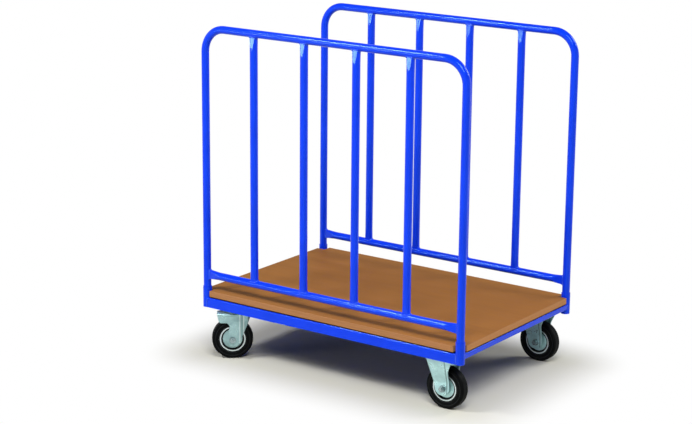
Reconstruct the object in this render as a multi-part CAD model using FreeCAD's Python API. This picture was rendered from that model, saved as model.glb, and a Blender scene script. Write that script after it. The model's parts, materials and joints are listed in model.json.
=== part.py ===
import FreeCAD, Part
import math
import os

Vector = FreeCAD.Vector

# Frame: millimetres, origin on the floor under the middle of the platform.
# +X runs along the cart to the end with the fixed casters, -Y is the front long side, +Z is up.

# Platform
platform_length = 1200.0
platform_width = 800.0
deck_thickness = 28.0
deck_edge_break = 1.5
deck_under_break = 2.5
deck_notch_gap = 4.0

# Welded frame
rail_height = 40.0
rail_flange = 40.0
rail_wall = 4.0
rail_corner = 5.0
rail_inset = 2.5
rail_cover = 0.5
end_rail_height = 22.0
end_rail_depth = 40.0
end_rail_wall = 2.5
end_rail_corner = 4.0
end_rail_bite = 9.0
bearer_leg = 40.0
bearer_wall = 4.0

# Plug-in hoops and their corner sockets
tube_diameter = 30.0
tube_wall = 2.0
bend_radius = 90.0
hoop_rise = 1029.0
lower_rail_rise = 63.0
bars_per_hoop = 4
bar_crimp = 22.4
rail_crimp = 12.0
crimp_taper = 44.0
socket_wall = 2.2
socket_clearance = 0.3
socket_rise = 14.0
socket_floor = 4.0
socket_drain = 10.0
socket_chamfer = 0.8

# Casters
wheel_diameter = 160.0
tyre_width = 40.0
tyre_shoulder = 9.0
tyre_depth = 30.0
rim_band = 5.0
rim_lip_set_back = 1.5
rim_groove_width = 7.0
rim_web = 10.0
rim_boss_width = 26.0
rim_boss_dish = 2.5
hub_diameter = 34.0
hub_overhang = 6.0
hub_side_gap = 1.0
roller_cage_wall = 2.5
sleeve_diameter = 20.0
sleeve_clearance = 0.05
axle_diameter = 12.0
axle_clearance = 0.1
axle_washer_diameter = 26.0
axle_washer_height = 2.5
axle_head_width = 19.0
axle_head_height = 8.0
axle_nut_height = 10.0
axle_thread_end = 3.0
fork_sheet = 4.0
fork_round = 5.0
leg_foot = 26.0
fixed_axle_offset = 8.0
fixed_leg_top = 108.0
fixed_leg_rear = 34.0
fixed_leg_front = 26.0
fixed_leg_shoulder = 46.0
fixed_leg_knee = 24.0
fixed_fold = 18.0
fixed_fold_inset = 3.0
plate_length = 140.0
plate_width = 110.0
plate_thickness = 4.0
plate_corner = 12.0
plate_side_gap = 3.5
bolt_spacing_x = 105.0
bolt_spacing_y = 75.0
bolt_diameter = 10.0
bolt_head_width = 16.0
bolt_head_height = 6.4
bolt_nut_height = 8.0
bolt_thread_end = 1.0
bolt_slot = 5.0
plate_to_socket = 2.0
swivel_inset = 154.0
swivel_trail = 40.0
swivel_rest_angle = 40.0
swivel_head_diameter = 66.0
swivel_head_rim = 9.0
tyre_to_crown = 20.5
plate_to_crown = 11.0
ball_diameter = 10.0
ball_circle = 48.0
ball_count = 12
ball_clearance = 0.1
race_width = 14.0
race_gap = 3.0
kingpin_diameter = 16.0
kingpin_clearance = 0.06
kingpin_head_diameter = 28.0
kingpin_head_height = 8.0
kingpin_head_gap = 0.4
hood_reach = 61.0
hood_height = 36.0
hood_corner = 10.0
hood_slant = 8.0
hood_taper = 18.0
hood_pinch = 9.0
leg_neck = 9.0
leg_rear = 22.0
leg_front = 31.0
leg_fillet = 16.0
leg_fold = 28.0
leg_fold_width = 15.0
leg_fold_step = 1.8
flange_reach = 60.0
flange_inset = 4.3
nose_reach = 70.0
nose_height = 14.0
nose_half = 15.0

# Deck screws
screws_per_side = 4
screw_diameter = 5.0
screw_head_diameter = 10.0
screw_head_height = 3.5
screw_bite = 18.0

# Levels and places that follow from the sizes above
wheel_radius = wheel_diameter / 2
crown_under = wheel_diameter + tyre_to_crown
crown_top = crown_under + fork_sheet
plate_under = crown_top + plate_to_crown
plate_top = plate_under + plate_thickness
frame_bottom = plate_under - rail_cover
frame_top = frame_bottom + rail_height
deck_top = frame_top + deck_thickness
lower_axis = deck_top + lower_rail_rise
top_axis = deck_top + hoop_rise
tube_radius = tube_diameter / 2
socket_bore = tube_radius + socket_clearance
socket_radius = socket_bore + socket_wall
upright_x = platform_length / 2 - socket_radius
upright_y = platform_width / 2 - socket_radius
rail_outer_x = platform_length / 2 - rail_inset
rail_outer_y = platform_width / 2 - rail_inset
rail_inner_y = rail_outer_y - rail_wall
flange_edge_y = rail_outer_y - rail_flange
end_rail_inner_x = rail_outer_x - end_rail_depth
end_rail_reach = upright_y - socket_radius + end_rail_bite
upright_bottom = frame_bottom + socket_floor
caster_y = rail_inner_y - plate_side_gap - plate_width / 2
fixed_x = upright_x - socket_radius - plate_to_socket - plate_length / 2
swivel_x = swivel_inset - platform_length / 2
fork_gap_half = tyre_width / 2 + hub_overhang + hub_side_gap
fork_outer_half = fork_gap_half + fork_sheet
corners = [(end, side) for end in (-1, 1) for side in (-1, 1)]
side_names = {-1: "front", 1: "rear"}
end_names = {-1: "swivel", 1: "fixed"}
parts = {}


# Shared shapes
def plan(z):
    return lambda u, v: Vector(u, v, z)


def across(x):
    return lambda u, v: Vector(x, u, v)


def side(y):
    return lambda u, v: Vector(u, y, v)


def outline(points, place):
    """Closed wire through (u, v, radius) corners, rounded where the radius is above zero."""
    stops = []
    for i, (u, v, radius) in enumerate(points):
        here = Vector(u, v, 0)
        back = Vector(points[i - 1][0], points[i - 1][1], 0) - here
        ahead = Vector(points[(i + 1) % len(points)][0], points[(i + 1) % len(points)][1], 0) - here
        back.normalize()
        ahead.normalize()
        if radius <= 0:
            stops.append((here, None, here))
            continue
        half = back.getAngle(ahead) / 2
        reach = radius / math.tan(half)
        middle = back + ahead
        middle.normalize()
        arc_point = here + middle * (radius / math.sin(half) - radius)
        stops.append((here + back * reach, arc_point, here + ahead * reach))
    edges = []
    for i, (start, arc_point, end) in enumerate(stops):
        if arc_point is not None:
            trio = [place(p.x, p.y) for p in (start, arc_point, end)]
            edges.append(Part.Arc(*trio).toShape())
        following = stops[(i + 1) % len(stops)][0]
        if end.distanceToPoint(following) > 1e-6:
            edges.append(Part.makeLine(place(end.x, end.y), place(following.x, following.y)))
    return Part.Wire(edges)


def prism(points, place, sweep):
    return Part.Face(outline(points, place)).extrude(sweep)


def rectangle(u0, u1, v0, v1, radius=0.0):
    return [(u0, v0, radius), (u1, v0, radius), (u1, v1, radius), (u0, v1, radius)]


def block(x0, x1, y0, y1, z0, z1):
    return Part.makeBox(x1 - x0, y1 - y0, z1 - z0, Vector(x0, y0, z0))


def post(x, y, z0, z1, radius):
    return Part.makeCylinder(radius, z1 - z0, Vector(x, y, z0))


def bar_along_x(y, z, x0, x1, radius):
    return Part.makeCylinder(radius, x1 - x0, Vector(x0, y, z), Vector(1, 0, 0))


def bar_along_y(x, z, y0, y1, radius):
    return Part.makeCylinder(radius, y1 - y0, Vector(x, y0, z), Vector(0, 1, 0))


def turned(points, place, base, axis):
    return Part.Face(outline(points, place)).revolve(base, axis, 360)


def level_edges(shape, z):
    """Edges of a shape that lie at one height."""
    boxes = [(edge, edge.BoundBox) for edge in shape.Edges]
    return [edge for edge, box in boxes if max(abs(box.ZMin - z), abs(box.ZMax - z)) < 1e-3]


def hexagon(width):
    radius = width / math.sqrt(3)
    angles = [math.radians(60 * i) for i in range(6)]
    return [(radius * math.cos(a), radius * math.sin(a), 0) for a in angles]


def hex_along_z(x, y, z, width, height):
    return prism(hexagon(width), lambda u, v: Vector(x + u, y + v, z), Vector(0, 0, height))


def hex_along_y(x, y, z, width, height):
    return prism(hexagon(width), lambda u, v: Vector(x + u, y, z + v), Vector(0, height, 0))


# Crimped tubes
def flared_radius(half):
    """Radius of a tube end pressed to a half thickness, found so that the tube keeps its girth."""
    low = tube_radius
    high = 2 * tube_radius
    while high - low > 1e-6:
        radius = (low + high) / 2
        girth = 4 * radius * math.asin(half / radius) + 4 * math.sqrt(radius ** 2 - half ** 2)
        if girth < 2 * math.pi * tube_radius:
            low = radius
        else:
            high = radius
    return low


def wedged_bar(length, radius, half, flare):
    """Upright bar from z = 0 whose ends flare out and are pressed between two tilted flats.

    The half thickness and the flare hold one tube radius from each end, at the next tube's surface.
    """
    taper = tube_radius + crimp_taper
    end_half = half - (radius - half) * tube_radius / crimp_taper
    end_radius = flare + (flare - radius) * tube_radius / crimp_taper
    bar = turned([
        (0, 0, 0), (end_radius, 0, 0), (radius, taper, 0),
        (radius, length - taper, 0), (end_radius, length, 0), (0, length, 0),
    ], side(0), Vector(0, 0, 0), Vector(0, 0, 1))
    far = 2 * end_radius
    wedges = []
    for foot, inward in ((0, 1), (length, -1)):
        for s in (-1, 1):
            section = [
                (s * end_half, foot, 0), (s * radius, foot + inward * taper, 0),
                (s * far, foot + inward * taper, 0), (s * far, foot, 0),
            ]
            wedges.append(prism(section, across(-far), Vector(2 * far, 0, 0)))
    return bar.cut(wedges)


def crimped_tube(length, crimp):
    """Upright tube from z = 0, both ends pressed flatter across Y."""
    half = crimp / 2
    flare = flared_radius(half)
    outside = wedged_bar(length, tube_radius, half, flare)
    return outside.cut(wedged_bar(length, tube_radius - tube_wall, half - tube_wall, flare - tube_wall))


# Hoops
def hoop_path(y):
    """Centre line of one hoop: up one upright, over two bends and down the other."""
    bend_z = top_axis - bend_radius
    bend_x = upright_x - bend_radius
    lift = bend_radius * math.sin(math.pi / 4)
    left_foot = Vector(-upright_x, y, upright_bottom)
    left_low = Vector(-upright_x, y, bend_z)
    left_mid = Vector(-bend_x - lift, y, bend_z + lift)
    left_high = Vector(-bend_x, y, top_axis)
    right_high = Vector(bend_x, y, top_axis)
    right_mid = Vector(bend_x + lift, y, bend_z + lift)
    right_low = Vector(upright_x, y, bend_z)
    right_foot = Vector(upright_x, y, upright_bottom)
    return Part.Wire([
        Part.makeLine(left_foot, left_low),
        Part.Arc(left_low, left_mid, left_high).toShape(),
        Part.makeLine(left_high, right_high),
        Part.Arc(right_high, right_mid, right_low).toShape(),
        Part.makeLine(right_low, right_foot),
    ])


def swept_tube(path, foot):
    def fill(radius):
        ring = Part.Wire([Part.makeCircle(radius, foot, Vector(0, 0, 1))])
        return path.makePipeShell([ring], True, True)

    return fill(tube_radius).cut(fill(tube_radius - tube_wall))


def make_hoop(name, y):
    parts[name + "_hoop_tube"] = swept_tube(hoop_path(y), Vector(-upright_x, y, upright_bottom))
    uprights = [post(x, y, upright_bottom, top_axis, tube_radius) for x in (-upright_x, upright_x)]
    lower = crimped_tube(2 * upright_x, rail_crimp)
    lower.rotate(Vector(0, 0, 0), Vector(0, 1, 0), 90)
    lower.translate(Vector(-upright_x, y, lower_axis))
    parts[name + "_lower_rail"] = lower.cut(uprights)
    crossings = [bar_along_x(y, z, -upright_x, upright_x, tube_radius) for z in (lower_axis, top_axis)]
    pitch = 2 * upright_x / (bars_per_hoop + 1)
    for i in range(bars_per_hoop):
        bar = crimped_tube(top_axis - lower_axis, bar_crimp)
        bar.translate(Vector(-upright_x + pitch * (i + 1), y, lower_axis))
        parts["%s_bar_%d" % (name, i + 1)] = bar.cut(crossings)


# Frame
def socket_solid(x, y):
    """Corner sleeve with a drained floor that the hoop's upright stands on."""
    shell = post(x, y, frame_bottom, deck_top + socket_rise, socket_radius)
    mouth = deck_top + socket_rise
    bore = post(x, y, upright_bottom, mouth, socket_bore)
    drain = post(x, y, frame_bottom, upright_bottom, socket_drain / 2)
    lead_in = Part.makeCone(socket_bore, socket_bore + socket_chamfer, socket_chamfer,
                            Vector(x, y, mouth - socket_chamfer))
    return shell.cut([bore, drain, lead_in])


def socket_rods():
    """Solid rods that trim every rail to the outside of the corner sockets."""
    top = deck_top + socket_rise
    return [post(end * upright_x, s * upright_y, frame_bottom, top, socket_radius) for end, s in corners]


def screw_places():
    first = swivel_x + bolt_spacing_x / 2 + bearer_leg / 2
    last = fixed_x - bolt_spacing_x / 2 - bearer_leg / 2
    step = (last - first) / screws_per_side
    y = (rail_inner_y + flange_edge_y) / 2
    return [(first + step * (i + 0.5), s * y) for i in range(screws_per_side) for s in (-1, 1)]


def screw_shanks():
    low = frame_top - rail_wall
    return [post(x, y, low, low + screw_bite, screw_diameter / 2) for x, y in screw_places()]


def make_side_rail(name, s):
    """Angle rail: its outer leg hangs down and its top leg carries the deck."""
    section = [
        (s * rail_outer_y, frame_bottom, 0),
        (s * rail_outer_y, frame_top, rail_corner),
        (s * flange_edge_y, frame_top, 0),
        (s * flange_edge_y, frame_top - rail_wall, 0),
        (s * rail_inner_y, frame_top - rail_wall, 0),
        (s * rail_inner_y, frame_bottom, 0),
    ]
    rail = prism(section, across(-upright_x), Vector(2 * upright_x, 0, 0))
    y0, y1 = sorted((s * flange_edge_y, s * rail_inner_y))
    ends = [sorted((end * end_rail_inner_x, end * upright_x)) for end in (-1, 1)]
    clear = [block(x0, x1, y0, y1, frame_bottom, frame_top) for x0, x1 in ends]
    parts[name] = rail.cut(clear + socket_rods() + screw_shanks())


def box_tube(x0, x1, y0, y1):
    """Flat rectangular tube along Y whose top is level with the top of the frame."""
    low = frame_top - end_rail_height
    wall = end_rail_wall
    inner_corner = max(end_rail_corner - wall, 0)
    outside = rectangle(x0, x1, low, frame_top, end_rail_corner)
    inside = rectangle(x0 + wall, x1 - wall, low + wall, frame_top - wall, inner_corner)
    sweep = Vector(0, y1 - y0, 0)
    return prism(outside, side(y0), sweep).cut(prism(inside, side(y0), sweep))


def make_end_rail(name, end):
    x0, x1 = sorted((end * end_rail_inner_x, end * rail_outer_x))
    parts[name] = box_tube(x0, x1, -end_rail_reach, end_rail_reach).cut(socket_rods())


def make_bearer(name, bolt_x, inward):
    """Cross angle under one row of caster bolts; its upright leg is on the caster's side."""
    half = bearer_leg / 2
    edge = bolt_x + inward * half
    y = rail_inner_y
    seat = block(bolt_x - half, bolt_x + half, -y, y, plate_top, plate_top + bearer_wall)
    x0, x1 = sorted((edge, edge - inward * bearer_wall))
    web = block(x0, x1, -y, y, plate_top, frame_top - rail_wall)
    parts[name] = seat.fuse(web).removeSplitter().cut(socket_rods() + bolt_shanks())


def make_deck():
    """Board with a square notch round each socket, its top and bottom edges broken."""
    x1 = rail_outer_x
    y1 = rail_outer_y
    nx = upright_x - socket_radius - deck_notch_gap
    ny = upright_y - socket_radius - deck_notch_gap
    plan_points = [
        (-nx, -y1, 0), (nx, -y1, 0), (nx, -ny, 0), (x1, -ny, 0),
        (x1, ny, 0), (nx, ny, 0), (nx, y1, 0), (-nx, y1, 0),
        (-nx, ny, 0), (-x1, ny, 0), (-x1, -ny, 0), (-nx, -ny, 0),
    ]
    board = prism(plan_points, plan(frame_top), Vector(0, 0, deck_thickness))
    board = board.makeChamfer(deck_under_break, level_edges(board, frame_top))
    board = board.makeChamfer(deck_edge_break, level_edges(board, deck_top))
    parts["deck_board"] = board.cut(screw_shanks())


def make_screws():
    low = frame_top - rail_wall
    heads = [post(x, y, low - screw_head_height, low, screw_head_diameter / 2) for x, y in screw_places()]
    screws = [h.fuse(s).removeSplitter() for h, s in zip(heads, screw_shanks())]
    parts["deck_screws"] = Part.makeCompound(screws)


# Caster fixings
def caster_places():
    """Name, end of the cart and plate centre of the four casters."""
    places = []
    for end, s in corners:
        x = swivel_x if end < 0 else fixed_x
        places.append((side_names[s] + "_" + end_names[end], end, x, s * caster_y))
    return places


def bolt_places():
    half_x = bolt_spacing_x / 2
    half_y = bolt_spacing_y / 2
    return [(x + i * half_x, y + j * half_y) for _, _, x, y in caster_places() for i, j in corners]


def bolt_shanks():
    top = plate_top + bearer_wall + bolt_nut_height + bolt_thread_end
    return [post(x, y, plate_under, top, bolt_diameter / 2) for x, y in bolt_places()]


def make_bolts():
    bolts = []
    for (x, y), shank in zip(bolt_places(), bolt_shanks()):
        head = hex_along_z(x, y, plate_under - bolt_head_height, bolt_head_width, bolt_head_height)
        nut = hex_along_z(x, y, plate_top + bearer_wall, bolt_head_width, bolt_nut_height)
        bolts.append(shank.fuse([head, nut]).removeSplitter())
    parts["caster_bolts"] = Part.makeCompound(bolts)


def top_plate():
    """Caster plate with four slotted bolt holes, about the caster's own centre."""
    points = rectangle(-plate_length / 2, plate_length / 2, -plate_width / 2, plate_width / 2, plate_corner)
    plate = prism(points, plan(plate_under), Vector(0, 0, plate_thickness))
    r = bolt_diameter / 2
    for i, j in corners:
        x = i * bolt_spacing_x / 2
        y = j * bolt_spacing_y / 2
        slot = rectangle(x - r - bolt_slot / 2, x + r + bolt_slot / 2, y - r, y + r, r)
        plate = plate.cut(prism(slot, plan(plate_under), Vector(0, 0, plate_thickness)))
    return plate


# Wheels, each about its own axle centre at x = 0, y = 0
def ring_about_y(points):
    centre = Vector(0, 0, wheel_radius)
    return turned(points, lambda r, y: Vector(0, y, wheel_radius + r), centre, Vector(0, 1, 0))


def tyre_solid():
    seat = wheel_radius - tyre_depth
    half = tyre_width / 2
    return ring_about_y([
        (seat, -half + rim_lip_set_back, 0),
        (wheel_radius, -half, tyre_shoulder),
        (wheel_radius, half, tyre_shoulder),
        (seat, half - rim_lip_set_back, 0),
    ])


def rim_solid():
    """Rim band, deep groove, central boss and hub, turned as one pressed and welded centre."""
    band_out = wheel_radius - tyre_depth
    band_in = band_out - rim_band
    boss = band_in - rim_groove_width
    hub = hub_diameter / 2
    bore = sleeve_diameter / 2 + sleeve_clearance + roller_cage_wall
    lip = tyre_width / 2 - rim_lip_set_back
    web = rim_web / 2
    face = rim_boss_width / 2
    reach = tyre_width / 2 + hub_overhang
    upper = [
        (bore, reach, 0), (hub, reach, 0), (hub, face + rim_boss_dish, 0), (boss, face, 0),
        (boss, web, 0), (band_in, web, 0), (band_in, lip, 0), (band_out, lip, 0),
    ]
    lower = [(r, -y, 0) for r, y, _ in reversed(upper)]
    return ring_about_y(upper + lower)


def sleeve_ring(inner, outer, half):
    return ring_about_y([(inner, -half, 0), (outer, -half, 0), (outer, half, 0), (inner, half, 0)])


def axle_hole():
    radius = axle_diameter / 2 + axle_clearance
    return bar_along_y(0, wheel_radius, -fork_outer_half, fork_outer_half, radius)


def axle_solid():
    """Axle bolt with its head, its nut and a washer against each fork leg."""
    seat = fork_outer_half + axle_washer_height
    end = seat + axle_nut_height + axle_thread_end
    shank = bar_along_y(0, wheel_radius, -end, seat, axle_diameter / 2)
    head = hex_along_y(0, seat, wheel_radius, axle_head_width, axle_head_height)
    nut = hex_along_y(0, -seat - axle_nut_height, wheel_radius, axle_head_width, axle_nut_height)
    radius = axle_washer_diameter / 2
    starts = (-seat, fork_outer_half)
    washers = [bar_along_y(0, wheel_radius, y, y + axle_washer_height, radius) for y in starts]
    return shank.fuse([head, nut] + washers).removeSplitter()


def wheel_pieces():
    """Every piece that hangs on the axle, by the last word of its name."""
    cage_in = sleeve_diameter / 2 + sleeve_clearance
    reach = tyre_width / 2 + hub_overhang
    return {
        "tyre": tyre_solid(),
        "rim": rim_solid(),
        "roller_cage": sleeve_ring(cage_in, cage_in + roller_cage_wall, reach),
        "axle_sleeve": sleeve_ring(axle_diameter / 2 + axle_clearance, sleeve_diameter / 2, fork_gap_half),
        "axle_bolt": axle_solid(),
    }


# Forks, with the axle at x = 0 for the fixed one and at x = -swivel_trail for the swivelling one
def leg_cutter(leg):
    """Outline of a leg seen from the side, drawn out across the whole plate."""
    return prism(leg, side(-plate_width / 2), Vector(0, plate_width, 0))


def fixed_leg(half, s):
    """Folded sheet that rises straight past the wheel and then leans out to the plate's edge."""
    low = wheel_radius - leg_foot
    knee = wheel_radius + fixed_leg_knee
    outer = [(x, s * y, 0) for x, y in half]
    inner = [(x, s * (y - fork_sheet), 0) for x, y in reversed(half)]
    lean = plate_width / 2 - fork_outer_half
    straight = prism(outer + inner, plan(low), Vector(0, 0, knee - low))
    return straight.fuse(prism(outer + inner, plan(knee), Vector(0, s * lean, plate_under - knee)))


def fixed_fork():
    """Plate with two legs that narrow towards the axle and fold in along both edges."""
    low = wheel_radius - leg_foot
    rear_top = -fixed_axle_offset - fixed_leg_top / 2
    front_top = fixed_leg_top / 2 - fixed_axle_offset
    leg = [
        (rear_top, plate_under, 0), (-fixed_leg_rear, wheel_radius, leg_foot),
        (-fixed_leg_rear, low, leg_foot), (fixed_leg_front, low, leg_foot),
        (fixed_leg_front, plate_under - fixed_leg_shoulder, leg_foot), (front_top, plate_under, 0),
    ]
    folded = fork_outer_half - fixed_fold_inset
    half = [
        (rear_top, folded), (rear_top + fixed_fold, fork_outer_half),
        (fixed_fold, fork_outer_half), (front_top, folded),
    ]
    plate = top_plate()
    plate.translate(Vector(-fixed_axle_offset, 0, 0))
    legs = [fixed_leg(half, s).common(leg_cutter(leg)) for s in (-1, 1)]
    return plate.fuse(legs).removeSplitter().cut(axle_hole())


def ball_groove():
    middle = (crown_top + plate_under) / 2
    return Part.makeTorus(ball_circle / 2, ball_diameter / 2 + ball_clearance, Vector(0, 0, middle))


def race_ring(z0, z1):
    outer = post(0, 0, z0, z1, ball_circle / 2 + race_width / 2)
    return outer.cut(post(0, 0, z0, z1, ball_circle / 2 - race_width / 2))


def swivel_plate():
    middle = (crown_top + plate_under) / 2
    race = race_ring(middle + race_gap / 2, plate_under)
    plate = top_plate().fuse(race).removeSplitter()
    return plate.cut([ball_groove(), post(0, 0, plate_under, plate_top, kingpin_diameter / 2)])


def crown_plan(half, shrink):
    """Closed plan of the swivelling fork, mirrored from one leg's (x, half width) points."""
    points = [(x, y - shrink, 0) for x, y in half]
    return points + [(x, -y, 0) for x, y, _ in reversed(points)]


def swivel_head():
    """Round cup over the crown, its top edge rolled over."""
    radius = swivel_head_diameter / 2
    low = crown_top - swivel_head_rim
    cup = post(0, 0, low, crown_top, radius)
    cup = cup.makeFillet(fork_round, level_edges(cup, crown_top))
    return cup.cut(post(0, 0, low, crown_under, radius - fork_sheet))


def swivel_fork():
    """Pressed fork: round head, hood over the tyre and two legs with a ridge along the front edge."""
    axle_x = -swivel_trail
    low = wheel_radius - leg_foot
    hood = crown_top - hood_height
    rear = axle_x - hood_reach
    nose = axle_x + nose_reach
    leg = [
        (rear, crown_top, 0), (rear + hood_slant, hood, hood_corner), (axle_x - leg_neck, hood, leg_fillet),
        (axle_x - leg_rear, wheel_radius, leg_foot), (axle_x - leg_rear, low, leg_rear),
        (axle_x + leg_front, low, leg_foot), (axle_x + leg_front, wheel_radius, leg_foot),
        (nose, crown_top - nose_height, 0), (nose, crown_top, 0),
    ]
    half = [
        (rear, fork_outer_half - hood_pinch),
        (rear + hood_taper, fork_outer_half),
        (axle_x + leg_fold, fork_outer_half),
        (axle_x + leg_fold + leg_fold_width, fork_outer_half - leg_fold_step),
        (axle_x + flange_reach, fork_outer_half - flange_inset),
        (nose, nose_half),
    ]
    shell = prism(crown_plan(half, 0), plan(low), Vector(0, 0, crown_top - low))
    shell = shell.makeFillet(fork_round, level_edges(shell, crown_top))
    shell = shell.cut(prism(crown_plan(half, fork_sheet), plan(low), Vector(0, 0, crown_under - low)))
    middle = (crown_top + plate_under) / 2
    race = race_ring(crown_under, middle - race_gap / 2)
    fork = shell.common(leg_cutter(leg)).fuse([swivel_head(), race]).removeSplitter()
    pin_hole = post(0, 0, crown_under, crown_top, kingpin_diameter / 2 + kingpin_clearance)
    hole = axle_hole()
    hole.translate(Vector(axle_x, 0, 0))
    return fork.cut([ball_groove(), pin_hole, hole])


def kingpin_solid():
    neck = crown_under - kingpin_head_gap
    shank = post(0, 0, neck - kingpin_head_height, plate_top, kingpin_diameter / 2)
    head = post(0, 0, neck - kingpin_head_height, neck, kingpin_head_diameter / 2)
    return shank.fuse(head).removeSplitter()


def balls_solid():
    middle = (crown_top + plate_under) / 2
    balls = []
    for i in range(ball_count):
        angle = 2 * math.pi * i / ball_count
        centre = Vector(math.cos(angle), math.sin(angle), 0) * (ball_circle / 2)
        balls.append(Part.makeSphere(ball_diameter / 2, centre + Vector(0, 0, middle)))
    return Part.makeCompound(balls)


def make_caster(name, end, x, y):
    pieces = wheel_pieces()
    if end < 0:
        for piece in pieces.values():
            piece.translate(Vector(-swivel_trail, 0, 0))
        pieces["fork"] = swivel_fork()
        pieces["balls"] = balls_solid()
        turn = -math.copysign(swivel_rest_angle, y)
        for piece in pieces.values():
            piece.rotate(Vector(0, 0, 0), Vector(0, 0, 1), turn)
        pieces["plate"] = swivel_plate()
        pieces["kingpin"] = kingpin_solid()
    else:
        pieces["fork"] = fixed_fork()
        x += fixed_axle_offset
    for word, piece in pieces.items():
        piece.translate(Vector(x, y, 0))
        parts[name + "_" + word] = piece


for side_sign, side_name in side_names.items():
    make_hoop(side_name, side_sign * upright_y)
    make_side_rail(side_name + "_side_rail", side_sign)
for end_sign, end_name in end_names.items():
    make_end_rail(end_name + "_end_rail", end_sign)
    centre_x = swivel_x if end_sign < 0 else fixed_x
    make_bearer(end_name + "_outer_bearer", centre_x + end_sign * bolt_spacing_x / 2, -end_sign)
    make_bearer(end_name + "_inner_bearer", centre_x - end_sign * bolt_spacing_x / 2, end_sign)
for end_sign, side_sign in corners:
    socket_name = "%s_%s_socket" % (side_names[side_sign], end_names[end_sign])
    parts[socket_name] = socket_solid(end_sign * upright_x, side_sign * upright_y)
parts["middle_bearer"] = box_tube(-end_rail_depth / 2, end_rail_depth / 2, -flange_edge_y, flange_edge_y)
make_deck()
make_screws()
make_bolts()
for caster in caster_places():
    make_caster(*caster)

os.makedirs("parts", exist_ok=True)
for node, shape in parts.items():
    shape.exportStep("parts/%s.step" % node)
print(len(parts), "nodes", sum(len(shape.Solids) for shape in parts.values()), "solids")
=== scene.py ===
"""Looks of a long material cart: view, light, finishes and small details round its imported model."""
import json
import math

import bmesh
import bpy
from mathutils import Matrix, Vector


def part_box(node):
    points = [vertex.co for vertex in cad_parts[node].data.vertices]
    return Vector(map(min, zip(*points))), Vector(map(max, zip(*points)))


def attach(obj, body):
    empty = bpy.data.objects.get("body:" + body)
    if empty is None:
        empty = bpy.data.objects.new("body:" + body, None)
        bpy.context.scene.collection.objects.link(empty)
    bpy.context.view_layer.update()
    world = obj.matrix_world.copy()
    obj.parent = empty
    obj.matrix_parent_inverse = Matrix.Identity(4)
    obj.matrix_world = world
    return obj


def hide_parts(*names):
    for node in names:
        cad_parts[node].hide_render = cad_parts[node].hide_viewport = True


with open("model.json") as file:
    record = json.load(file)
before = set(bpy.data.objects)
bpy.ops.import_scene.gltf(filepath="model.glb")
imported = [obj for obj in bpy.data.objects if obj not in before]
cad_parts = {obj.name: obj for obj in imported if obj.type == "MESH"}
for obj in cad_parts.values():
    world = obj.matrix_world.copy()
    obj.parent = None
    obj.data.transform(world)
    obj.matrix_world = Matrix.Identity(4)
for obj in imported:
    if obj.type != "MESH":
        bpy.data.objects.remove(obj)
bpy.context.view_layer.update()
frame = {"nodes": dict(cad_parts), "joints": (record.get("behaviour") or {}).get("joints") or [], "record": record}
nodes = frame["nodes"]
joints = {joint["name"]: joint for joint in frame["joints"]}
scene = bpy.context.scene

# View: photograph width and focal length in pixels, sensor in millimetres, eye and clip in metres
PHOTO_WIDTH = 692
FOCAL_PIXELS = 1910.4
SENSOR = 36.0
EYE = Vector((3.9973, -5.8968, 2.4214))
YAW = math.radians(-35.41)
PITCH = math.radians(14.454)
ROLL = math.radians(0.511)
CLIP_END = 200.0

# Stage: the floor turns white between two distances from a footprint, given as half sizes
FLOOR_HALF = 30.0
FLOOR_TONE = (0.71, 0.695, 0.61, 1)
FOOTPRINT = (0.55, 0.34)
FADE_START = 0.0
FADE_END = 0.32
WHITE = (1, 1, 1, 1)

# Light: strengths of the world, slopes where it darkens, softboxes with place, size and watts
AMBIENT = 0.06
CEILING = 0.25
CEILING_RISE = (0.10, 0.50)
LIGHT_TARGET = Vector((0, 0, 0.5))
SOFTBOXES = (
    ("key", (-2.3, -2.9, 3.9), (1.1, 0.62), 116.0),
    ("fill", (2.6, -3.2, 4.7), (2.6, 2.6), 230.0),
    ("strip", (-2.95, -4.45, 1.13), (1.7, 0.26), 38.0),
    ("back", (3.2, 4.1, 3.9), (2.6, 2.6), 165.0),
)

# Names and sizes that repeat the part's own, in metres
SIDES = {"front": -1, "rear": 1}
ENDS = {"swivel": -1, "fixed": 1}
CASTERS = [side + "_" + end for end in ENDS for side in SIDES]
BARS = 4
TUBE_RADIUS = 0.015
BAR_HALF = 0.0112
LOWER_RAIL_HALF = 0.006
RAIL_WALL = 0.004
WHEEL_RADIUS = 0.080
TYRE_HALF = 0.020
TYRE_SEAT = 0.050
TYRE_SET_BACK = 0.0015
TYRE_SHOULDER = 0.009
RIM_GROOVE = (0.0378, 0.0452)
SWIVEL_FOLDS = (0.028, 0.043)
FIXED_FOLD = 0.018

# Tyres of the scene: a wall groove is its radius and depth, a tread groove its offset from the middle
TYRE_STEPS = 144
TYRE_SHARP = math.radians(40)
SHOULDER_STEPS = 9
SHOULDER_DRAW = 0.0004
WALL_GROOVES = ((0.0542, 0.0009), (0.0672, 0.0006))
WALL_GROOVE_HALF = 0.0011
WALL_GROOVE_FLOOR = 0.0005
TREAD_GROOVES = (-0.0075, -0.0025, 0.0025, 0.0075)
TREAD_GROOVE_HALF = 0.0010
TREAD_GROOVE_FLOOR = 0.0006
TREAD_DEPTH = 0.0014

# Welds of the scene: margins are kept at the foot and the head of an upright bead
WELD_RADIUS = 0.0030
WELD_RIPPLE = 0.16
WELD_PITCH = 0.0034
WELD_SIDES = 8
WELD_STEP = 0.0009
WELD_SHARP = math.radians(80)
SIDE_WELD_MARGINS = (0.003, 0.006)
END_WELD_MARGINS = (0.004, 0.004)
END_WELD_INSET = 0.0012

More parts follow.
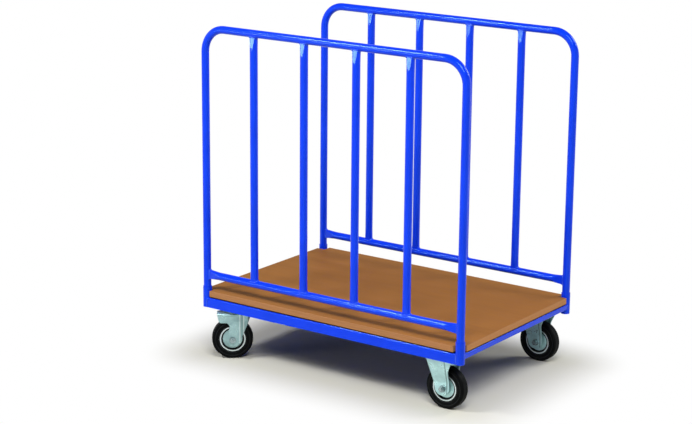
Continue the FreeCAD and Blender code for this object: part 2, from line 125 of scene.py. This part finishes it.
# Powder coat: linear tones, noise scales in waves per metre, relief as strength and depth in metres
PAINT_TONES = ((0.0012, 0.037, 0.83, 1), (0.0020, 0.044, 0.93, 1))
PAINT_SHEEN = (0.46, 1.0, 1.0, 1)
PAINT_GLOSS = 0.28
PAINT_ROUGHNESS = (0.115, 0.14)
PAINT_CLOUDS = 7.0
PAINT_PEEL = 380.0
PEEL_RELIEF = (0.10, 0.0003)
WELD_GLOSS = 1.0
WELD_ROUGHNESS = (0.10, 0.20)

# Deck board: the same units, with noise scales along, across and up
WOOD_TONES = ((0.335, 0.133, 0.026, 1), (0.405, 0.166, 0.036, 1))
EDGE_TONES = ((0.374, 0.173, 0.068, 1), (0.446, 0.209, 0.090, 1))
# Lighter tones of the two end faces: painted light, as if the ends were lit more
LIT_END_TONES = ((0.48, 0.220, 0.082, 1), (0.57, 0.265, 0.108, 1))
STREAK_TONE = (0.22, 0.09, 0.03, 1)
STREAK_SHARE = 0.30
FLECK_TONE = (0.17, 0.07, 0.024, 1)
FLECK_SHARE = 0.30
# Dark film underneath; the band it makes up the board's lowest edge is a painted shadow of the gap to the rail
FILM_AND_GAP_SHADE_TONE = (0.012, 0.006, 0.006, 1)
GAP_SHADE_HEIGHT = 0.0050
WOOD_DRIFT = (1.1, 7.5, 7.5)
WOOD_FIBRES = (9.0, 330.0, 330.0)
WOOD_FLECKS = (70.0, 900.0, 900.0)
WOOD_GLOSS = 0.05
WOOD_ROUGHNESS = (0.44, 0.58)
FIBRE_RELIEF = (0.12, 0.0004)

# Zinc plate: roughness of the dull and of the bright patches, half widths in metres
ZINC_TONES = {
    "swivel": ((0.265, 0.425, 0.435, 1), (0.38, 0.58, 0.58, 1)),
    "fixed": ((0.40, 0.64, 0.65, 1), (0.55, 0.84, 0.84, 1)),
}
ZINC_METAL = 0.60
ZINC_PATCHES = 30.0
PLATE_ROUGHNESS = (0.42, 0.30)
FORK_ROUGHNESS = (0.38, 0.26)
RIM_ROUGHNESS = (0.40, 0.28)
DRAWING_MARKS = 900.0
MARK_RELIEF = (0.08, 0.0003)
# Painted light on the forks: highlights on the swivel folds, shade between them and along the fixed fold, with
# half widths
FOLD_HIGHLIGHT_TONE = (0.80, 0.92, 0.91, 1)
FOLD_HIGHLIGHT_HALF = 0.0011
BETWEEN_FOLDS_SHADE_TONE = (0.25, 0.39, 0.39, 1)
CREASE_SHADE_TONE = (0.21, 0.34, 0.345, 1)
CREASE_SHADE_HALF = 0.0024
# Painted shade in the rim's groove, and a painted highlight on its lip
GROOVE_SHADE_TONE = (0.010, 0.017, 0.019, 1)
LIP_HIGHLIGHT_TONE = (0.66, 0.75, 0.76, 1)

# Bright steel of the fasteners
STEEL_TONES = ((0.22, 0.30, 0.31, 1), (0.42, 0.52, 0.53, 1))
STEEL_METAL = 0.92
STEEL_PATCHES = 90.0
STEEL_ROUGHNESS = (0.32, 0.20)

# Rubber, lightened in its rings and grooves as dust and as painted highlight lines
RUBBER_TONES = ((0.0012, 0.0016, 0.0020, 1), (0.0040, 0.0046, 0.0052, 1))
RUBBER_BLOOM = 38.0
RUBBER_GLOSS = 0.06
RUBBER_ROUGHNESS = (0.42, 0.58)
RUBBER_GRIT = 1500.0
GRIT_RELIEF = (0.12, 0.0003)
DUST_AND_HIGHLIGHT_TONE = (0.030, 0.032, 0.035, 1)
DUST_AND_HIGHLIGHT_HALF = 0.0012
DUST_AND_HIGHLIGHT_SHARES = (0.5, 1.0)

# Plastic of the roller cages
CAGE_TONES = ((0.03, 0.03, 0.032, 1), (0.06, 0.06, 0.06, 1))
CAGE_MOTTLE = 300.0
CAGE_ROUGHNESS = 0.5

# Windows: stretches of a value that are spread from zero to one
WHOLE = (0.0, 1.0)
GRAIN_WINDOW = (0.30, 0.70)
CLOUD_WINDOW = (0.35, 0.65)
STREAK_WINDOW = (0.34, 0.64)
FLECK_WINDOW = (0.62, 0.74)
BLOOM_WINDOW = (0.40, 0.75)
FACING_WINDOW = (0.80, 0.95)

# Blur of a mark's edge, as a share of its half width
MARK_BLUR = 0.5

# Sockets of a Mix node for its factor and two colours, and for the mixed colour
MIX_INPUTS = (0, 6, 7)
MIX_OUTPUT = 2


# Node helpers
def new_material(name):
    material = bpy.data.materials.new(name)
    material.use_nodes = True
    tree = material.node_tree
    return material, tree, tree.nodes["Principled BSDF"]


def feed(tree, socket, value):
    """Links a value that comes from a node, and sets any other."""
    if isinstance(value, bpy.types.NodeSocket):
        tree.links.new(value, socket)
    else:
        socket.default_value = value


def feed_named(tree, node, **inputs):
    """Feeds inputs by their names, written with _ for a space."""
    for name, value in inputs.items():
        feed(tree, node.inputs[name.replace("_", " ")], value)


def feed_first(tree, node, *values):
    """Feeds a node's first inputs in their order."""
    for socket, value in zip(node.inputs, values):
        feed(tree, socket, value)


def add(tree, kind, settings=None, **inputs):
    """One node with its settings and its inputs."""
    made = tree.nodes.new(kind)
    for name, value in (settings or {}).items():
        setattr(made, name, value)
    feed_named(tree, made, **inputs)
    return made


def place(tree, scale=(1, 1, 1)):
    """Coordinates of the piece in metres, stretched by scale."""
    where = add(tree, "ShaderNodeTexCoord").outputs["Object"]
    return add(tree, "ShaderNodeMapping", Vector=where, Scale=scale).outputs["Vector"]


def grain_noise(tree, vector, scale=1.0, detail=2.0, roughness=0.5, distortion=0.0):
    made = add(tree, "ShaderNodeTexNoise", Vector=vector, Scale=scale, Detail=detail,
               Roughness=roughness, Distortion=distortion)
    return made.outputs["Fac"]


def spread(tree, value, low, high, to_low=0.0, to_high=1.0, course="LINEAR"):
    """Value between low and high, spread over another range and held at its ends."""
    made = add(tree, "ShaderNodeMapRange", {"interpolation_type": course}, Value=value,
               From_Min=low, From_Max=high, To_Min=to_low, To_Max=to_high)
    return made.outputs["Result"]


def tint(tree, factor, first, second):
    """Colour between two others, each a colour or a link."""
    made = add(tree, "ShaderNodeMix", {"data_type": "RGBA"})
    for index, value in zip(MIX_INPUTS, (factor, first, second)):
        feed(tree, made.inputs[index], value)
    return made.outputs[MIX_OUTPUT]


def relief(tree, height, strength, depth):
    return add(tree, "ShaderNodeBump", Height=height, Strength=strength, Distance=depth).outputs["Normal"]


def math_node(tree, operation, *values):
    made = add(tree, "ShaderNodeMath", {"operation": operation})
    feed_first(tree, made, *values)
    return made.outputs["Value"]


def dot(tree, first, second):
    made = add(tree, "ShaderNodeVectorMath", {"operation": "DOT_PRODUCT"})
    feed_first(tree, made, first, second)
    return made.outputs["Value"]


def between(tree, value, low, high):
    """One from low to high, and zero elsewhere."""
    return math_node(tree, "COMPARE", value, (low + high) / 2, (high - low) / 2)


def near(tree, value, marks, half):
    """One on each mark, falling through a half at the half width to zero."""
    total = 0.0
    for mark in marks:
        off = math_node(tree, "ABSOLUTE", math_node(tree, "SUBTRACT", value, mark))
        hit = spread(tree, off, (1 - MARK_BLUR) * half, (1 + MARK_BLUR) * half, 1.0, 0.0)
        total = math_node(tree, "MAXIMUM", total, hit)
    return total


def axle_of(caster):
    """Centre of a caster's wheel, and its axis."""
    joint = joints[caster + "_wheel_spin"]
    return Vector(joint["pos_m"]), Vector(joint["axis"]).normalized()


def axle_arm(tree, caster):
    """From a wheel's centre to a point, and the wheel's axis."""
    centre, axis = axle_of(caster)
    where = add(tree, "ShaderNodeTexCoord").outputs["Object"]
    return add(tree, "ShaderNodeMapping", Vector=where, Location=-centre).outputs["Vector"], axis


def axle_distance(tree, caster):
    """Distance of a point on a wheel from its axle line."""
    arm, axis = axle_arm(tree, caster)
    along = dot(tree, arm, axis)
    square = math_node(tree, "SUBTRACT", dot(tree, arm, arm), math_node(tree, "MULTIPLY", along, along))
    return math_node(tree, "SQRT", square)


# Finishes
def blue_paint(name, gloss, roughness):
    """Glossy powder coat with a faint orange peel."""
    material, tree, skin = new_material(name)
    where = place(tree)
    clouds = spread(tree, grain_noise(tree, where, PAINT_CLOUDS), *CLOUD_WINDOW)
    peel = grain_noise(tree, where, PAINT_PEEL, detail=1.0)
    feed_named(tree, skin,
               Base_Color=tint(tree, clouds, *PAINT_TONES),
               Roughness=spread(tree, peel, *GRAIN_WINDOW, *roughness),
               Normal=relief(tree, peel, *PEEL_RELIEF),
               Specular_IOR_Level=gloss,
               Specular_Tint=PAINT_SHEEN)
    return material


def board_face(tree, fibres):
    """Tone of the board's top: drifting colour with darker streaks and flecks."""
    drift = grain_noise(tree, place(tree, WOOD_DRIFT), detail=4.0, distortion=0.8)
    tone = tint(tree, spread(tree, drift, *GRAIN_WINDOW), *WOOD_TONES)
    streak = spread(tree, fibres, *STREAK_WINDOW)
    face = tint(tree, streak, tint(tree, STREAK_SHARE, tone, STREAK_TONE), tone)
    flecks = spread(tree, grain_noise(tree, place(tree, WOOD_FLECKS)), *FLECK_WINDOW)
    return tint(tree, math_node(tree, "MULTIPLY", flecks, FLECK_SHARE), face, FLECK_TONE)


def board_edge(tree, fibres, facing):
    """Tone of the board's edges, which are plainer than the top; the two end faces are painted lighter, as painted
    light.
    """
    streak = spread(tree, fibres, *STREAK_WINDOW)
    # Painted light on the faces that look along the board's length
    lit_end = spread(tree, math_node(tree, "ABSOLUTE", facing["X"]), *FACING_WINDOW)
    return tint(tree, lit_end, tint(tree, streak, *EDGE_TONES), tint(tree, streak, *LIT_END_TONES))


def deck_wood():
    """Beech-coloured board with long grain and a dark film underneath; where that dark reaches up the board's
    lowest edge it is a painted shadow line of the gap to the rail.
    """
    material, tree, skin = new_material("beech_board")
    fibres = grain_noise(tree, place(tree, WOOD_FIBRES), detail=4.0, roughness=0.62)
    shape = add(tree, "ShaderNodeNewGeometry").outputs["True Normal"]
    facing = add(tree, "ShaderNodeSeparateXYZ", Vector=shape).outputs
    upward = spread(tree, facing["Z"], *FACING_WINDOW)
    wood = tint(tree, upward, board_edge(tree, fibres, facing), board_face(tree, fibres))
    height = add(tree, "ShaderNodeSeparateXYZ", Vector=place(tree)).outputs["Z"]
    # Dark below this height: the film underneath, and up the edges a painted shadow of the gap to the rail
    film_and_gap_shade = math_node(tree, "LESS_THAN", height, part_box("deck_board")[0].z + GAP_SHADE_HEIGHT)
    feed_named(tree, skin,
               Base_Color=tint(tree, film_and_gap_shade, wood, FILM_AND_GAP_SHADE_TONE),
               Roughness=spread(tree, fibres, *GRAIN_WINDOW, *WOOD_ROUGHNESS),
               Normal=relief(tree, fibres, *FIBRE_RELIEF),
               Specular_IOR_Level=WOOD_GLOSS)
    return material


def plated(name, tones, roughness, patches=ZINC_PATCHES, shade=None, metal=ZINC_METAL):
    """Zinc-plated steel with cloudy patches and fine drawing marks; shade may paint light or shade into its
    colour.
    """
    material, tree, skin = new_material(name)
    noise = grain_noise(tree, place(tree), patches, detail=4.0, roughness=0.6, distortion=0.6)
    clouds = spread(tree, noise, *CLOUD_WINDOW)
    colour = tint(tree, clouds, *tones)
    # Painted highlights and painted shade, where a fork or rim asks for them
    if shade:
        colour = shade(tree, colour)
    marks = grain_noise(tree, place(tree), DRAWING_MARKS)
    feed_named(tree, skin,
               Base_Color=colour,
               Roughness=spread(tree, clouds, *WHOLE, *roughness),
               Normal=relief(tree, marks, *MARK_RELIEF),
               Metallic=metal)
    return material


def zinc_of(caster):
    """Tones of a caster's zinc, by its kind."""
    return ZINC_TONES[caster.split("_")[1]]


def fork_zinc(caster):
    """Zinc of one fork with painted light: painted highlights on a swivel leg's folds with painted shade between
    them, and a painted shade band along a fixed leg's fold.
    """
    def shade(tree, colour):
        arm, axis = axle_arm(tree, caster)
        ahead = dot(tree, arm, axis.cross(Vector((0, 0, 1))))
        # Painted shade band along the fixed leg's fold
        if caster.endswith("fixed"):
            return tint(tree, near(tree, ahead, [FIXED_FOLD], CREASE_SHADE_HALF), colour, CREASE_SHADE_TONE)
        # Painted shade between the swivel folds, then painted highlights on the folds
        between_shaded = tint(tree, between(tree, ahead, *SWIVEL_FOLDS), colour, BETWEEN_FOLDS_SHADE_TONE)
        return tint(tree, near(tree, ahead, SWIVEL_FOLDS, FOLD_HIGHLIGHT_HALF), between_shaded, FOLD_HIGHLIGHT_TONE)

    return plated("fork_zinc_" + caster, zinc_of(caster), FORK_ROUGHNESS, shade=shade)


def rim_zinc(caster):
    """Zinc of one wheel's rim, with a painted highlight on the lip and painted shade in the groove."""
    def shade(tree, colour):
        distance = axle_distance(tree, caster)
        # Painted shade in the recessed groove, and a painted highlight on the rolled lip outside it
        groove_shaded = tint(tree, between(tree, distance, *RIM_GROOVE), colour, GROOVE_SHADE_TONE)
        lip = math_node(tree, "GREATER_THAN", distance, RIM_GROOVE[1])
        return tint(tree, lip, groove_shaded, LIP_HIGHLIGHT_TONE)

    return plated("rim_zinc_" + caster, zinc_of(caster), RIM_ROUGHNESS, shade=shade)


def black_rubber(caster):
    """Matt solid rubber, lightened in the rings of the side walls and in the grooves of the tread, as dust and as
    painted highlight lines.
    """
    material, tree, skin = new_material("solid_rubber_" + caster)
    bloom = spread(tree, grain_noise(tree, place(tree), RUBBER_BLOOM, detail=4.0), *BLOOM_WINDOW)
    arm, axis = axle_arm(tree, caster)
    wall_radii = [radius for radius, _ in WALL_GROOVES]
    rings = near(tree, axle_distance(tree, caster), wall_radii, DUST_AND_HIGHLIGHT_HALF)
    treads = near(tree, dot(tree, arm, axis), TREAD_GROOVES, TREAD_GROOVE_HALF)
    # Lighter rings and grooves: dust, and painted highlight lines
    dusty_and_lit = math_node(tree, "MAXIMUM", rings, treads)
    dust_and_highlight = math_node(tree, "MULTIPLY", dusty_and_lit, spread(tree, bloom, *WHOLE, *DUST_AND_HIGHLIGHT_SHARES))
    grit = grain_noise(tree, place(tree), RUBBER_GRIT)
    feed_named(tree, skin,
               Base_Color=tint(tree, dust_and_highlight, tint(tree, bloom, *RUBBER_TONES), DUST_AND_HIGHLIGHT_TONE),
               Roughness=spread(tree, bloom, *WHOLE, *RUBBER_ROUGHNESS),
               Normal=relief(tree, grit, *GRIT_RELIEF),
               Specular_IOR_Level=RUBBER_GLOSS)
    return material


def bearing_cage():
    """Dark moulded plastic, faintly mottled."""
    material, tree, skin = new_material("moulded_cage")
    mottle = grain_noise(tree, place(tree), CAGE_MOTTLE)
    feed_named(tree, skin, Base_Color=tint(tree, mottle, *CAGE_TONES), Roughness=CAGE_ROUGHNESS)
    return material


finishes = {
    "blue_paint": blue_paint("blue_powder_coat", PAINT_GLOSS, PAINT_ROUGHNESS),
    "deck_wood": deck_wood(),
    "zinc_plate": plated("blue_zinc", ZINC_TONES["swivel"], PLATE_ROUGHNESS),
    "bright_steel": plated("bright_zinc", STEEL_TONES, STEEL_ROUGHNESS, STEEL_PATCHES, metal=STEEL_METAL),
    "bearing_cage": bearing_cage(),
}
weld_finish = blue_paint("painted_weld", WELD_GLOSS, WELD_ROUGHNESS)
own_finishes = {}
for caster_name in CASTERS:
    own_finishes[caster_name + "_rim"] = rim_zinc(caster_name)
    own_finishes[caster_name + "_fork"] = fork_zinc(caster_name)
    own_finishes[caster_name + "_tyre"] = black_rubber(caster_name)
for part in frame["record"]["subparts"]:
    part_mesh = nodes[part["node"]].data
    part_finish = own_finishes.get(part["node"]) or finishes[part["material_slot"]]
    for index in range(len(part_mesh.materials)):
        part_mesh.materials[index] = part_finish


# Pieces
def mesh_piece(name, shape, body, finish, sharp):
    """Smooth mesh from a bmesh, with edges over the sharp angle kept, riding on a body."""
    mesh = bpy.data.meshes.new(name)
    bmesh.ops.recalc_face_normals(shape, faces=shape.faces)
    shape.to_mesh(mesh)
    shape.free()
    mesh.shade_smooth()
    mesh.set_sharp_from_angle(angle=sharp)
    mesh.materials.append(finish)
    piece = bpy.data.objects.new(name, mesh)
    scene.collection.objects.link(piece)
    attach(piece, body)
    return piece


def join_rings(shape, rings, closed):
    """Quads between rings of equal length, with end caps where the run is open."""
    count = len(rings[0])
    runs = len(rings) if closed else len(rings) - 1
    for i in range(runs):
        here, there = rings[i], rings[(i + 1) % len(rings)]
        for k in range(count):
            after = (k + 1) % count
            shape.faces.new((here[k], there[k], there[after], here[after]))
    if not closed:
        shape.faces.new(rings[0])
        shape.faces.new(rings[-1])


def groove(half, floor_half, depth):
    """Corners of a groove, each as an offset from its middle and a dip."""
    return (-half, 0), (-floor_half, depth), (floor_half, depth), (half, 0)


def wall_line(radius):
    """Half width of the tyre's side wall at a distance from the axle."""
    rise = (radius - TYRE_SEAT) / (WHEEL_RADIUS - TYRE_SEAT)
    return TYRE_HALF - TYRE_SET_BACK * (1 - rise)


def tyre_half_profile():
    """From the seat over one side wall and its rings to the tread, as (half width, radius) pairs."""
    points = [(wall_line(TYRE_SEAT), TYRE_SEAT)]
    for radius, depth in WALL_GROOVES:
        for step, dip in groove(WALL_GROOVE_HALF, WALL_GROOVE_FLOOR, depth):
            points.append((wall_line(radius + step) - dip, radius + step))
    inner_width = TYRE_HALF - TYRE_SHOULDER
    inner_radius = WHEEL_RADIUS - TYRE_SHOULDER
    for i in range(SHOULDER_STEPS + 1):
        angle = math.pi / 2 * i / SHOULDER_STEPS
        reach = TYRE_SHOULDER - SHOULDER_DRAW * math.cos(angle)
        rise = TYRE_SHOULDER * math.sin(angle)
        points.append((inner_width + reach * math.cos(angle), inner_radius + rise))
    return points


def make_tyre(caster):
    """Solid tyre with ribbed tread and ringed side walls, turned about the wheel's axle."""
    half = tyre_half_profile()
    profile = [(-width, radius) for width, radius in half]
    for middle in TREAD_GROOVES:
        for step, dip in groove(TREAD_GROOVE_HALF, TREAD_GROOVE_FLOOR, TREAD_DEPTH):
            profile.append((middle + step, WHEEL_RADIUS - dip))
    profile += reversed(half)
    centre, axis = axle_of(caster)
    side = axis.orthogonal().normalized()
    top = axis.cross(side)
    shape = bmesh.new()
    rings = []
    for i in range(TYRE_STEPS):
        angle = 2 * math.pi * i / TYRE_STEPS
        out = side * math.cos(angle) + top * math.sin(angle)
        rings.append([shape.verts.new(centre + axis * width + out * radius) for width, radius in profile])
    join_rings(shape, rings, True)
    piece = mesh_piece(caster + "_ribbed_tyre", shape, caster + "_wheel",
                       own_finishes[caster + "_tyre"], TYRE_SHARP)
    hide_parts(caster + "_tyre")


def weld_bead(shape, path, centre, closed):
    """Rippled bead along a path; its section is set out from the centre."""
    count = len(path)
    length = sum((path[i] - path[i - 1]).length for i in range(1, count))
    ripples = max(1, round(length / WELD_PITCH))
    rings = []
    for i, point in enumerate(path):
        back = path[i - 1] if closed or i else point
        ahead = path[(i + 1) % count] if closed or i < count - 1 else point
        along = (ahead - back).normalized()
        out = point - centre
        out = (out - along * out.dot(along)).normalized()
        side = along.cross(out)
        size = WELD_RADIUS * (1 + WELD_RIPPLE * math.sin(2 * math.pi * ripples * i / count))
        ring = []
        for k in range(WELD_SIDES):
            angle = 2 * math.pi * k / WELD_SIDES
            arm = out * math.cos(angle) + side * math.sin(angle)
            ring.append(shape.verts.new(point + arm * size))
        rings.append(ring)
    join_rings(shape, rings, closed)


def pressed_loop(radius, half):
    """Outline of a tube end pressed to a half thickness, as (width, thickness) pairs."""
    steps = round(2 * math.pi * radius / WELD_STEP)
    loop = []
    for i in range(steps):
        angle = 2 * math.pi * i / steps
        thickness = max(-half, min(half, radius * math.sin(angle)))
        loop.append((radius * math.cos(angle), thickness))
    return loop


def half_chord(radius, offset):
    """How far a circle reaches on each side of its middle line, at an offset from its centre."""
    return math.sqrt(radius ** 2 - offset ** 2)


def middle_of(node):
    """Middle of a node's box, and its size."""
    low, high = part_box(node)
    return (low + high) / 2, high - low


def make_hoop_welds(side):
    """Beads where the bars meet the rails and where the lower rail meets the uprights."""
    shape = bmesh.new()
    rail, rail_size = middle_of(side + "_lower_rail")
    tube, tube_size = middle_of(side + "_hoop_tube")
    top_axis = tube.z + tube_size.z / 2 - TUBE_RADIUS
    upright_x = tube_size.x / 2 - TUBE_RADIUS
    for i in range(BARS):
        bar, bar_size = middle_of("%s_bar_%d" % (side, i + 1))
        loop = pressed_loop(bar_size.x / 2, BAR_HALF)
        for axis_z, up in ((rail.z, 1), (top_axis, -1)):
            path = []
            for width, thickness in loop:
                z = axis_z + up * half_chord(TUBE_RADIUS, thickness)
                path.append(Vector((bar.x + width, bar.y + thickness, z)))
            weld_bead(shape, path, Vector((bar.x, bar.y, axis_z)), True)
    loop = pressed_loop(rail_size.z / 2, LOWER_RAIL_HALF)
    for x_sign in ENDS.values():
        path = []
        for width, thickness in loop:
            x = x_sign * (upright_x - half_chord(TUBE_RADIUS, thickness))
            path.append(Vector((x, rail.y + thickness, rail.z + width)))
        weld_bead(shape, path, Vector((x_sign * upright_x, rail.y, rail.z)), True)
    mesh_piece(side + "_hoop_welds", shape, side + "_hoop", weld_finish, WELD_SHARP)


def upright_bead(shape, x, y, rail, margins, centre):
    """Open bead up the height of a rail, less its margins, facing away from a centre."""
    rail_low, rail_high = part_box(rail)
    low, high = rail_low.z + margins[0], rail_high.z - margins[1]
    steps = round((high - low) / WELD_STEP)
    path = [Vector((x, y, low + (high - low) * i / steps)) for i in range(steps + 1)]
    weld_bead(shape, path, Vector((centre.x, centre.y, low)), False)


def make_frame_welds():
    """Upright beads where the side and end rails meet the corner sockets."""
    shape = bmesh.new()
    for side, y_sign in SIDES.items():
        side_rail = side + "_side_rail"
        rail, rail_size = middle_of(side_rail)
        side_face = abs(rail.y) + rail_size.y / 2
        for end, x_sign in ENDS.items():
            socket, socket_size = middle_of("%s_%s_socket" % (side, end))
            radius = socket_size.x / 2
            for face in (side_face, side_face - RAIL_WALL):
                x = x_sign * (abs(socket.x) - half_chord(radius, face - abs(socket.y)))
                upright_bead(shape, x, y_sign * face, side_rail, SIDE_WELD_MARGINS, socket)
            end_rail = end + "_end_rail"
            rail, rail_size = middle_of(end_rail)
            end_face = abs(rail.x) + rail_size.x / 2
            x = x_sign * (end_face - END_WELD_INSET)
            y = y_sign * (abs(socket.y) - half_chord(radius, end_face - abs(socket.x)))
            upright_bead(shape, x, y, end_rail, END_WELD_MARGINS, socket)
    mesh_piece("frame_welds", shape, "base", weld_finish, WELD_SHARP)


for caster_name in CASTERS:
    make_tyre(caster_name)
for side_name in SIDES:
    make_hoop_welds(side_name)
make_frame_welds()


# Stage
def seen_directly(tree):
    """One for rays that see the stage straight, mirrored or through glass."""
    rays = add(tree, "ShaderNodeLightPath").outputs
    both = math_node(tree, "MAXIMUM", rays["Is Camera Ray"], rays["Is Glossy Ray"])
    return math_node(tree, "MAXIMUM", both, rays["Is Transmission Ray"])


def footprint_distance(tree):
    """Distance of a point on the floor from the footprint, zero inside it."""
    where = add(tree, "ShaderNodeTexCoord").outputs["Object"]
    split = add(tree, "ShaderNodeSeparateXYZ", Vector=where).outputs
    squares = []
    for axis, half in zip("XY", FOOTPRINT):
        past = math_node(tree, "SUBTRACT", math_node(tree, "ABSOLUTE", split[axis]), half)
        past = math_node(tree, "MAXIMUM", past, 0.0)
        squares.append(math_node(tree, "MULTIPLY", past, past))
    return math_node(tree, "SQRT", math_node(tree, "ADD", *squares))


def make_floor():
    """Pale floor that takes the shadow near the cart and turns white further off."""
    bpy.ops.mesh.primitive_plane_add(size=2 * FLOOR_HALF, location=(0, 0, 0))
    floor = bpy.context.object
    floor.name = "floor"
    material, tree, skin = new_material("pale_floor")
    feed_named(tree, skin, Base_Color=FLOOR_TONE, Roughness=1.0, Specular_IOR_Level=0.0)
    fade = spread(tree, footprint_distance(tree), FADE_START, FADE_END, course="SMOOTHSTEP")
    whiteness = math_node(tree, "MULTIPLY", fade, seen_directly(tree))
    white = add(tree, "ShaderNodeEmission", Color=WHITE, Strength=1.0).outputs["Emission"]
    mixed = add(tree, "ShaderNodeMixShader")
    feed_first(tree, mixed, whiteness, skin.outputs["BSDF"], white)
    feed_named(tree, tree.nodes["Material Output"], Surface=mixed.outputs["Shader"])
    floor.data.materials.append(material)


def make_world():
    """Faint even light, seen as a white backdrop that darkens towards the ceiling."""
    world = bpy.data.worlds.new("studio")
    scene.world = world
    world.use_nodes = True
    tree = world.node_tree
    toward = add(tree, "ShaderNodeTexCoord").outputs["Generated"]
    rise = add(tree, "ShaderNodeSeparateXYZ", Vector=toward).outputs["Z"]
    shown = spread(tree, rise, *CEILING_RISE, 1.0, CEILING)
    strength = spread(tree, seen_directly(tree), *WHOLE, AMBIENT, shown)
    feed_named(tree, tree.nodes["Background"], Color=WHITE, Strength=strength)


def make_softbox(name, spot, size, power):
    """Rectangular lamp that faces the cart."""
    lamp = bpy.data.lights.new(name, "AREA")
    lamp.shape = "RECTANGLE"
    lamp.size, lamp.size_y = size
    lamp.energy = power
    box = bpy.data.objects.new(name, lamp)
    scene.collection.objects.link(box)
    box.location = spot
    box.rotation_euler = (LIGHT_TARGET - Vector(spot)).to_track_quat("-Z", "Y").to_euler()


def make_camera():
    """Camera at the photograph's eye, turned by its yaw, pitch and roll."""
    ahead = Vector((math.sin(YAW) * math.cos(PITCH), math.cos(YAW) * math.cos(PITCH), -math.sin(PITCH)))
    level = Vector((math.cos(YAW), -math.sin(YAW), 0))
    upright = level.cross(ahead)
    across = level * math.cos(ROLL) + upright * math.sin(ROLL)
    top = upright * math.cos(ROLL) - level * math.sin(ROLL)
    lens = bpy.data.cameras.new("photo_view")
    lens.sensor_width = SENSOR
    lens.lens = FOCAL_PIXELS * SENSOR / PHOTO_WIDTH
    lens.clip_end = CLIP_END
    camera = bpy.data.objects.new("photo_view", lens)
    scene.collection.objects.link(camera)
    turn = Matrix((across, top, -ahead)).transposed()
    camera.matrix_world = Matrix.Translation(EYE) @ turn.to_4x4()
    scene.camera = camera


make_floor()
make_world()
for softbox in SOFTBOXES:
    make_softbox(*softbox)
make_camera()
scene.view_settings.view_transform = "Standard"
